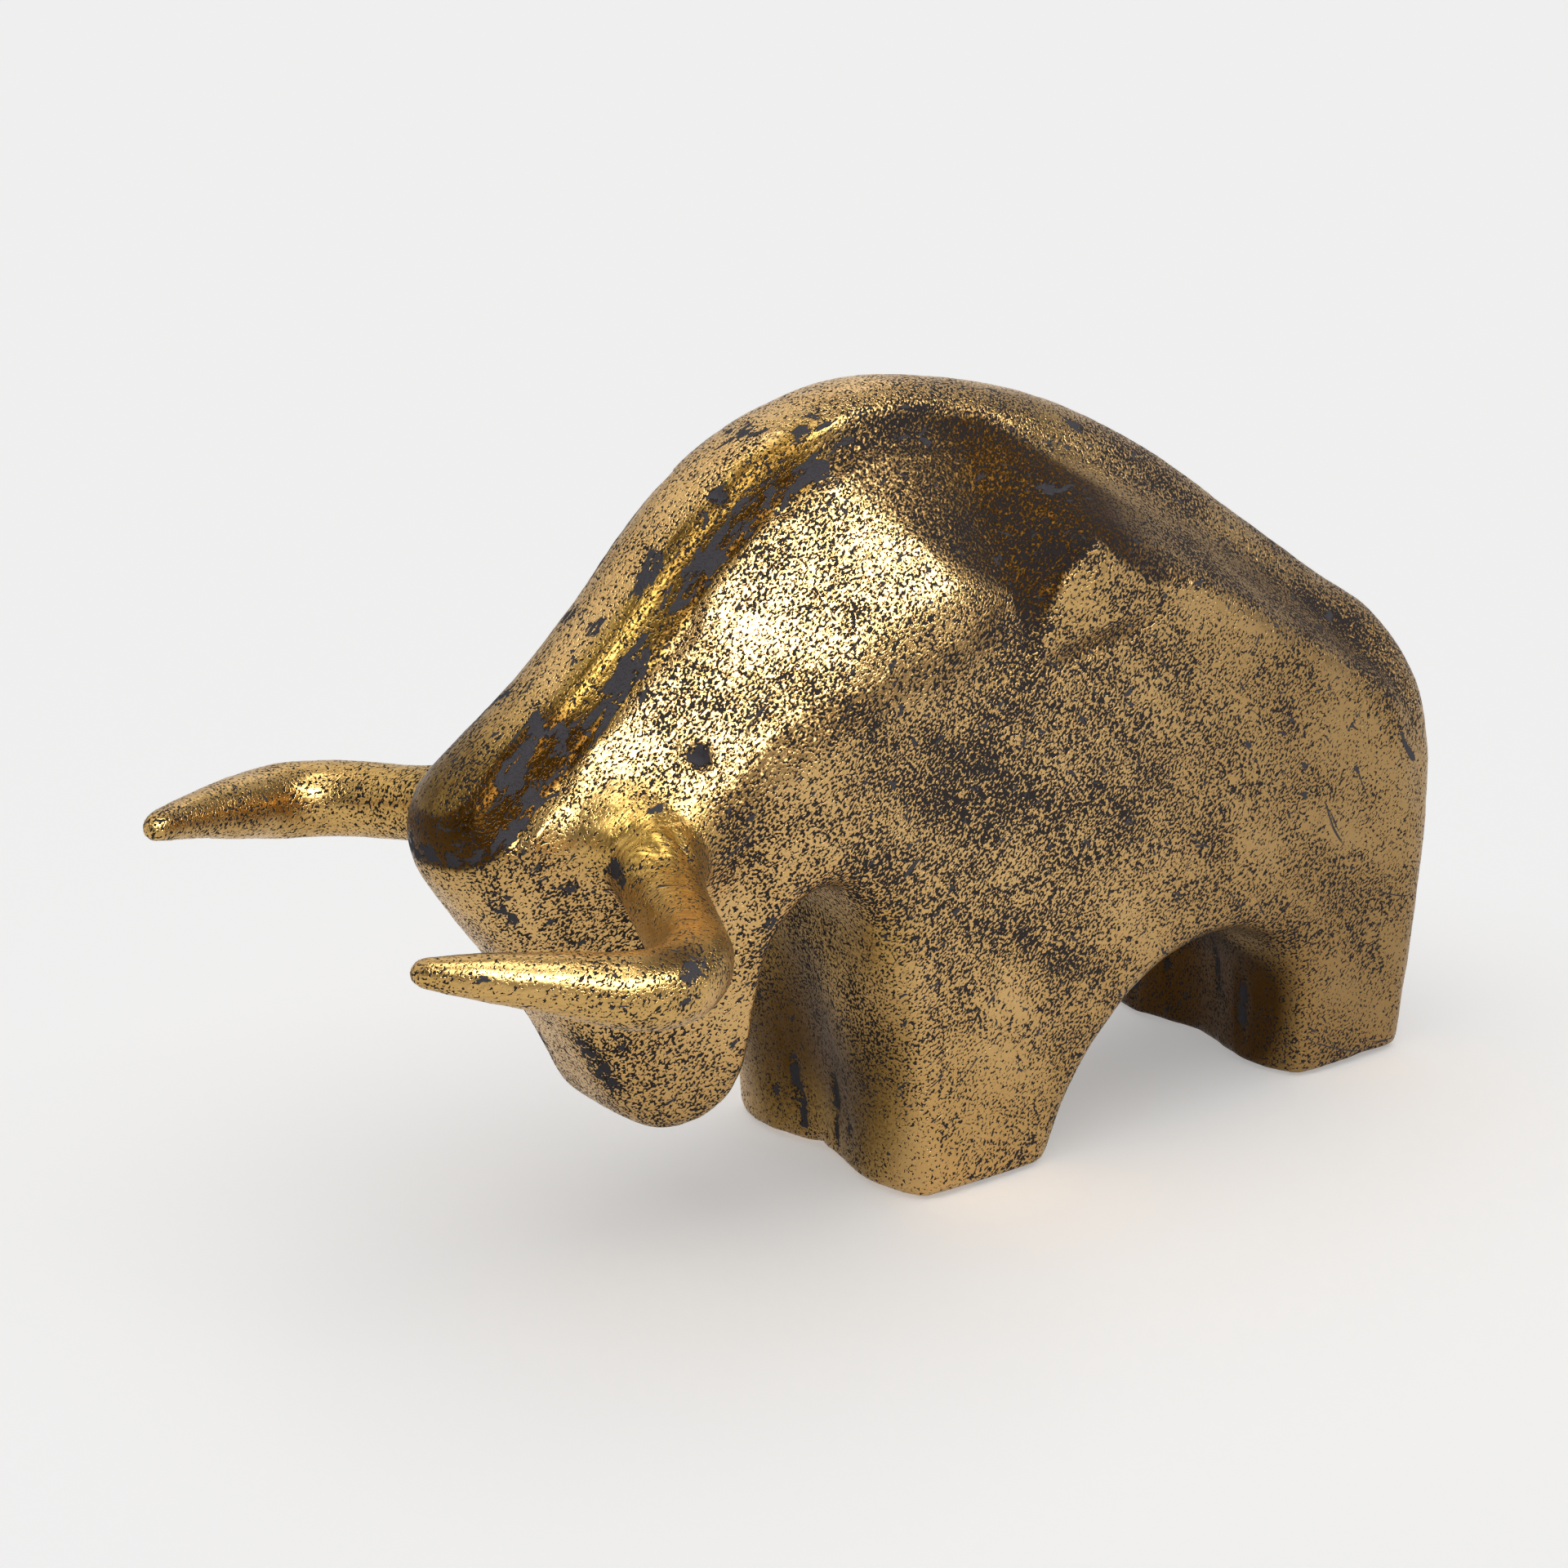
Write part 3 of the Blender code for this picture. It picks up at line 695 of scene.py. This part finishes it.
    def _sand_relief(self, skin: bpy.types.Object) -> None:
        """Lay the unevenness of a hand-finished sand casting over the skin by Geometry Nodes."""
        tree = bpy.data.node_groups.new("sand_relief", "GeometryNodeTree")
        face = tree.interface
        face.new_socket("Geometry", in_out="INPUT", socket_type="NodeSocketGeometry")
        sizes = {
            "Wave Height": self.wave_height, "Wave Size": self.wave_size,
            "Dimple Height": self.dimple_height, "Dimple Size": self.dimple_size,
            "Sand Height": self.sand_height, "Sand Size": self.sand_size}
        keys = {}
        for name in sizes:
            socket = face.new_socket(name, in_out="INPUT", socket_type="NodeSocketFloat")
            keys[name] = socket.identifier
        face.new_socket("Geometry", in_out="OUTPUT", socket_type="NodeSocketGeometry")

        inside = add_node(tree, "NodeGroupInput")
        position = add_node(tree, "GeometryNodeInputPosition")
        total = 0.0
        for layer, name in enumerate(("Wave", "Dimple", "Sand")):
            scale = add_node(tree, MATH, {"operation": "DIVIDE"},
                             {0: 1.0, 1: inside.outputs[name + " Size"]})
            noise = add_node(tree, NOISE, {"noise_dimensions": "4D"},
                             {"Vector": position, "W": self.noise_start + self.noise_step * layer,
                              "Scale": scale, "Detail": 1.0})
            swing = add_node(tree, MATH, ADD_SHARE, {0: noise, 1: 2.0, 2: -1.0})
            total = add_node(tree, MATH, ADD_SHARE,
                             {0: swing, 1: inside.outputs[name + " Height"], 2: total})
        split = add_node(tree, "ShaderNodeSeparateXYZ", {}, {0: position})
        low, high = self.relief_foot
        clear = add_node(tree, RANGE, {}, {0: split.outputs[2], 1: low, 2: high})
        height = add_node(tree, MATH, TIMES, {0: total, 1: clear})
        offset = add_node(tree, "ShaderNodeVectorMath", {"operation": "SCALE"},
                          {0: add_node(tree, "GeometryNodeInputNormal"), "Scale": height})
        move = add_node(tree, "GeometryNodeSetPosition", {},
                        {"Geometry": inside, "Offset": offset})
        real = add_node(tree, "GeometryNodeRealizeInstances", {}, {0: move})
        dress = add_node(tree, "GeometryNodeSetMaterial", {},
                         {"Geometry": real, "Material": PatinatedBrass().material()})
        add_node(tree, "NodeGroupOutput", {}, {0: dress})

        relief = skin.modifiers.new("sand relief", "NODES")
        relief.node_group = tree
        for name, value in sizes.items():
            relief[keys[name]] = value
        self._apply(skin)


@dataclass(frozen=True)
class PatinatedBrass:
    """Sand-cast brass, ground and brushed by hand, with dark patina left in its pits.

    The ground planes give the eye a broad pale shine, broken up by small black pits. The strip
    under the crest and the hollows get painted shade in deep olive brown, with grey flakes of the
    casting's skin.
    """

    # pale gold, warmer in patches, and yellower where a hand has brushed it
    brass: str = "DAB67E"
    warm_brass: str = "C79B57"
    polished_brass: str = "CDA554"
    # brown between the file marks, and the brown of the painted shade
    oxidised_and_shaded_brass: str = "4A3110"
    # nearly black in the pits, and a cool dark grey where the skin of the casting is left
    pit: str = "1B1615"
    patina: str = "2E2C2F"

    # a satin metal, whose highlights spread a little wider along the file marks and in the shade
    roughness: float = 0.26
    streak_roughness: float = 0.14
    shade_roughness: float = 0.20
    gloss: float = 0.5
    # the dark deposit is matt and hardly metallic
    deposit_roughness: float = 0.75
    deposit_gloss: float = 0.2
    deposit_metal: float = 0.1

    # patches a thumb wide in which the pits are denser or the colour is warmer
    patch_size: float = 13.0 * MM
    patch_stretch: float = 1.8
    patch_share: float = 0.36
    # pits between the grains of sand, about half a millimetre wide and drawn out along the flank
    pit_period: float = 0.52 * MM
    pit_stretch: float = 1.45
    pit_slant: float = 40.0
    pit_depth: float = 0.13 * MM
    pit_level: float = 0.729
    pit_edge: float = 0.012
    pitted_share: float = 0.10
    patina_share: float = 0.12
    hollow_edges: Ramp = (-0.13, 0.03)
    # larger dark blotches where a few pits have run together
    blotch_period: float = 2.6 * MM
    blotch_share: float = 0.04
    blotch_edges: Ramp = (0.705, 0.72)
    # ragged flakes, 6 mm long by 2 mm, whose grain follows the crest and the horns
    flakes_per_metre: tuple[float, float, float] = (170.0, 460.0, 460.0)
    flake_share: float = 0.28
    flake_edges: Ramp = (0.655, 0.675)
    # scaly relief that was left beside the ground planes
    scale_period: float = 1.25 * MM
    # file marks three quarters of a millimetre apart, drawn as coarse as they need to be to show
    files_per_metre: tuple[float, float, float] = (60.0, 1300.0, 1300.0)
    file_edges: Ramp = (0.40, 0.70)
    file_stain: float = 0.75

    # height of each relief as a share of the pits' depth
    pit_height: float = -0.35
    streak_height: float = 0.6
    flake_height: float = 1.6
    scale_height: float = 6.5

    def material(self) -> bpy.types.Material:
        """Build the material.

        Returns:
            Material for the whole casting.
        """
        material = bpy.data.materials.new("sand cast brass with dark patina")
        material.use_nodes = True
        tree = material.node_tree
        tree.nodes.clear()
        layers = {
            place: add_node(tree, "ShaderNodeAttribute", {"attribute_name": place.value})
            for place in Place}
        share = {place: node.outputs["Fac"] for place, node in layers.items()}
        grain = layers[Place.GRAIN].outputs["Vector"]

        # patches, lying across the slant of the pits
        where = add_node(tree, "ShaderNodeTexCoord").outputs["Object"]
        slant = math.radians(self.pit_slant)
        banked = add_node(tree, "ShaderNodeMapping", {"vector_type": "TEXTURE"},
                          {"Vector": where, "Rotation": (0.0, slant, 0.0),
                           "Scale": (self.patch_stretch, 1.0, 1.0)})
        patches = add_node(tree, NOISE, {},
                           {"Vector": banked, "Scale": 1.0 / self.patch_size, "Detail": 2.0,
                            "Roughness": 0.6})

        # pits, with the wider hollow round each of them
        slanted = add_node(tree, "ShaderNodeMapping", {"vector_type": "TEXTURE"},
                           {"Vector": where, "Rotation": (0.0, -slant, 0.0),
                            "Scale": (self.pit_stretch, 1.0, 1.0)})
        level = add_node(tree, NOISE, {},
                         {"Vector": slanted, "Scale": 1.0 / self.pit_period, "Detail": 1.0,
                          "Roughness": 0.5, "Distortion": 0.35})
        for extra, amount in ((patches, self.patch_share),
                              (share[Place.PITTED], self.pitted_share),
                              (share[Place.PATINA], self.patina_share)):
            level = add_node(tree, MATH, ADD_SHARE, {0: extra, 1: amount, 2: level})
        pits = add_node(tree, RANGE, SMOOTH,
                        {0: level, 1: self.pit_level - self.pit_edge,
                         2: self.pit_level + self.pit_edge})
        hollow = add_node(tree, RANGE, SMOOTH,
                          {0: level, 1: self.pit_level + self.hollow_edges[0],
                           2: self.pit_level + self.hollow_edges[1]})

        # blotches and flakes
        blotches = add_node(tree, NOISE, {},
                            {"Vector": slanted, "Scale": 1.0 / self.blotch_period, "Detail": 2.0,
                             "Roughness": 0.6, "Distortion": 0.3})
        blotches = add_node(tree, MATH, ADD_SHARE,
                            {0: share[Place.PITTED], 1: self.blotch_share, 2: blotches})
        blotches = add_node(tree, RANGE, SMOOTH,
                            {0: blotches, 1: self.blotch_edges[0], 2: self.blotch_edges[1]})
        peeled = add_node(tree, "ShaderNodeVectorMath", TIMES, {0: grain, 1: self.flakes_per_metre})
        flakes = add_node(tree, NOISE, {},
                          {"Vector": peeled, "Scale": 1.0, "Detail": 3.0, "Roughness": 0.6,
                           "Distortion": 0.5})
        flakes = add_node(tree, MATH, ADD_SHARE,
                          {0: share[Place.PATINA], 1: self.flake_share, 2: flakes})
        flakes = add_node(tree, RANGE, SMOOTH,
                          {0: flakes, 1: self.flake_edges[0], 2: self.flake_edges[1]})
        wide = add_node(tree, MATH, LARGER, {0: blotches, 1: flakes})
        dark = add_node(tree, MATH, LARGER, {0: pits, 1: wide})

        # scales and file marks
        scales = add_node(tree, NOISE, {},
                          {"Vector": slanted, "Scale": 1.0 / self.scale_period, "Detail": 1.0,
                           "Roughness": 0.5})
        relief = add_node(tree, MATH, {"operation": "POWER"}, {0: share[Place.RELIEF], 1: 2.0})
        scales = add_node(tree, MATH, TIMES, {0: scales, 1: relief})
        filed = add_node(tree, "ShaderNodeVectorMath", TIMES, {0: grain, 1: self.files_per_metre})
        lines = add_node(tree, NOISE, {},
                         {"Vector": filed, "Scale": 1.0, "Detail": 2.0, "Roughness": 0.6})
        streaks = add_node(tree, MATH, TIMES, {0: lines, 1: share[Place.BRUSHED]})

        # colour
        stains = add_node(tree, RANGE, SMOOTH,
                          {0: lines, 1: self.file_edges[0], 2: self.file_edges[1]})
        stains = add_node(tree, MATH, TIMES, {0: stains, 1: share[Place.BRUSHED]})
        stains = add_node(tree, MATH, TIMES, {0: stains, 1: self.file_stain})
        tint: tuple[float, ...] | bpy.types.NodeSocket = linear(self.brass)
        # the last mix, by the shade attribute, is painted shade that darkens the brass towards
        # brown
        for amount, other in ((patches, self.warm_brass),
                              (share[Place.BRUSHED], self.polished_brass),
                              (stains, self.oxidised_and_shaded_brass),
                              (share[Place.SHADE], self.oxidised_and_shaded_brass)):
            mix = add_node(tree, "ShaderNodeMix", COLOURS, {0: amount, 6: tint, 7: linear(other)})
            tint = mix.outputs[2]
        deposit = add_node(tree, "ShaderNodeMix", COLOURS,
                           {0: wide, 6: linear(self.pit), 7: linear(self.patina)})
        colour = add_node(tree, "ShaderNodeMix", COLOURS,
                          {0: dark, 6: tint, 7: deposit.outputs[2]})

        # shine
        metal = add_node(tree, RANGE, {}, {0: dark, 3: 1.0, 4: self.deposit_metal})
        gloss = add_node(tree, RANGE, {}, {0: dark, 3: self.gloss, 4: self.deposit_gloss})
        rough = add_node(tree, RANGE, {}, {0: dark, 3: self.roughness, 4: self.deposit_roughness})
        unbrushed = add_node(tree, RANGE, {}, {0: share[Place.BRUSHED], 3: 1.0, 4: 0.0})
        dull = add_node(tree, MATH, TIMES, {0: unbrushed, 1: share[Place.SHADE]})
        for extra, amount in ((streaks, self.streak_roughness), (dull, self.shade_roughness)):
            rough = add_node(tree, MATH, ADD_SHARE, {0: extra, 1: amount, 2: rough})

        # relief
        height = add_node(tree, MATH, TIMES, {0: hollow, 1: share[Place.RELIEF]})
        height = add_node(tree, RANGE, {}, {0: height, 3: 0.0, 4: -1.0})
        for extra, amount in ((pits, self.pit_height), (streaks, self.streak_height),
                              (flakes, self.flake_height), (scales, self.scale_height)):
            height = add_node(tree, MATH, ADD_SHARE, {0: extra, 1: amount, 2: height})
        bump = add_node(tree, "ShaderNodeBump", {},
                        {"Strength": 1.0, "Distance": self.pit_depth, "Height": height})
        shader = add_node(tree, "ShaderNodeBsdfPrincipled", {},
                          {"Base Color": colour.outputs[2], "Metallic": metal, "Roughness": rough,
                           "Specular IOR Level": gloss, "Normal": bump})
        add_node(tree, "ShaderNodeOutputMaterial", {}, {0: shader})
        return material


@dataclass(frozen=True)
class StudioPaper:
    """Matt pale paper: an even light grey that takes a soft shadow and has no gloss."""

    paper: str = "EEEEEE"
    roughness: float = 0.9
    gloss: float = 0.1
    glow: float = 0.40

    def material(self) -> bpy.types.Material:
        """Build the material.

        Returns:
            Material for the floor.
        """
        material = bpy.data.materials.new("pale studio paper")
        material.use_nodes = True
        shader = material.node_tree.nodes["Principled BSDF"]
        shader.inputs["Base Color"].default_value = linear(self.paper)
        shader.inputs["Roughness"].default_value = self.roughness
        shader.inputs["Specular IOR Level"].default_value = self.gloss
        shader.inputs["Emission Color"].default_value = linear(self.paper)
        shader.inputs["Emission Strength"].default_value = self.glow
        return material


@dataclass(frozen=True)
class SoftLight:
    """Rectangular soft light, placed by the direction from which it lights the casting."""

    name: str
    azimuth: float
    elevation: float
    width_angle: float
    height_angle: float
    radiance: float
    distance: float = 2.5
    aim: tuple[float, float, float] = (0.0, 0.0, 0.10)

    def hang(self) -> bpy.types.Object:
        """Make the light.

        Returns:
            The lamp.
        """
        back = direction(self.azimuth, self.elevation)
        data = bpy.data.lights.new(self.name, "AREA")
        data.shape = "RECTANGLE"
        data.size = 2.0 * self.distance * math.tan(math.radians(self.width_angle / 2.0))
        data.size_y = 2.0 * self.distance * math.tan(math.radians(self.height_angle / 2.0))
        data.energy = self.radiance * math.pi * data.size * data.size_y
        light = add_object(self.name, data)
        light.visible_camera = False
        place = Vector(self.aim) + back * self.distance
        light.matrix_world = Matrix.LocRotScale(place, back.to_track_quat("Z", "Y"), None)
        return light


@dataclass
class Studio:
    """Pale floor, soft lights and the camera of the picture."""

    camera_place: tuple[float, float, float] = (-0.51314, -0.64252, 0.36798)
    camera_azimuth: float = -37.5
    camera_elevation: float = 19.2
    lens: float = 95.7
    sensor_width: float = 36.0
    clip_start: float = 0.01
    floor_size: float = 16.0
    floor_light: float = 1.62
    # the room's brightness, by the height and the depth of a direction from the casting
    wall_level: float = 0.855
    ceiling_level: float = 0.12
    ceiling_height: Ramp = (0.05, 0.33)
    front_level: float = 0.22
    front_depth: Ramp = (-0.5, 0.3)
    lights: tuple[SoftLight, ...] = (
        SoftLight("key_light", 5.5, 43.0, 59.0, 19.0, 10.0),
        SoftLight("key_left", -14.0, 31.0, 28.0, 14.0, 10.0),
        SoftLight("key_right", 40.0, 37.0, 14.0, 18.0, 10.0),
        SoftLight("top_light", 0.0, 84.0, 24.0, 24.0, 5.0),
        SoftLight("side_light", 118.0, 40.0, 36.0, 36.0, 0.5),
        SoftLight("back_light", -158.0, 48.0, 124.0, 50.0, 0.9),
    )

    def build(self) -> None:
        """Make the floor, the lights and the camera."""
        floor = self._floor()
        self._world()
        for light in self.lights:
            lamp = light.hang()
            self._link(lamp, floor, Takers.CASTING)
        self._link(self._floor_light(), floor, Takers.FLOOR)
        self._camera()

    def _floor(self) -> bpy.types.Object:
        """Lay the plain pale floor.

        Returns:
            The floor.
        """
        half = self.floor_size / 2.0
        mesh = bpy.data.meshes.new("floor")
        corners = [(-half, -half, 0.0), (half, -half, 0.0), (half, half, 0.0), (-half, half, 0.0)]
        mesh.from_pydata(corners, [], [(0, 1, 2, 3)])
        mesh.materials.append(StudioPaper().material())
        floor = add_object("floor", mesh)
        return floor

    def _floor_light(self) -> bpy.types.Object:
        """Hang a wide overhead light for the floor.

        Returns:
            The lamp.
        """
        data = bpy.data.lights.new("floor_light", "SUN")
        data.angle = math.radians(90.0)
        data.energy = self.floor_light
        return add_object("floor_light", data)

    @staticmethod
    def _link(lamp: bpy.types.Object, floor: bpy.types.Object, lit: Takers) -> None:
        """Choose what a lamp lights.

        Args:
            lamp: The lamp.
            floor: The floor.
            lit: Nothing but the floor, or all but the floor.
        """
        takers = bpy.data.collections.new(lamp.name + " takers")
        takers.objects.link(floor)
        takers.collection_objects[0].light_linking.link_state = lit.value
        lamp.light_linking.receiver_collection = takers

    def _world(self) -> None:
        """Set the walls of the room: pale at the floor and darker towards the ceiling."""
        world = bpy.data.worlds.new("studio")
        world.use_nodes = True
        tree = world.node_tree
        background = tree.nodes["Background"]
        background.inputs["Color"].default_value = (1.0, 1.0, 1.0, 1.0)
        split = add_node(tree, "ShaderNodeSeparateXYZ", {},
                         {0: add_node(tree, "ShaderNodeTexCoord").outputs["Generated"]})
        level = add_node(tree, RANGE, SMOOTH,
                         {0: split.outputs[2], 1: self.ceiling_height[0],
                          2: self.ceiling_height[1], 3: self.wall_level, 4: self.ceiling_level})
        front = add_node(tree, RANGE, SMOOTH,
                         {0: split.outputs[1], 1: self.front_depth[0], 2: self.front_depth[1],
                          3: self.front_level, 4: 1.0})
        strength = add_node(tree, MATH, TIMES, {0: level, 1: front})
        tree.links.new(strength.outputs[0], background.inputs["Strength"])
        bpy.context.scene.world = world

    def _camera(self) -> None:
        """Set up the camera at the picture's viewing angle."""
        back = direction(self.camera_azimuth, self.camera_elevation)
        data = bpy.data.cameras.new("camera")
        data.lens = self.lens
        data.sensor_width = self.sensor_width
        data.clip_start = self.clip_start
        camera = add_object("camera", data)
        camera.matrix_world = Matrix.LocRotScale(
            Vector(self.camera_place), back.to_track_quat("Z", "Y"), None)
        bpy.context.scene.camera = camera


def main() -> None:
    """Build the casting and the studio, and report them."""
    logging.basicConfig(level=logging.INFO, format="%(message)s")
    bpy.context.scene.view_settings.view_transform = "Standard"
    Studio().build()
    skin = Casting().build()
    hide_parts("bull")
    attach(skin, "root")
    LOG.info("%s: %d triangles", skin.name, sum(len(f.vertices) - 2 for f in skin.data.polygons))


if __name__ == "__main__":
    main()
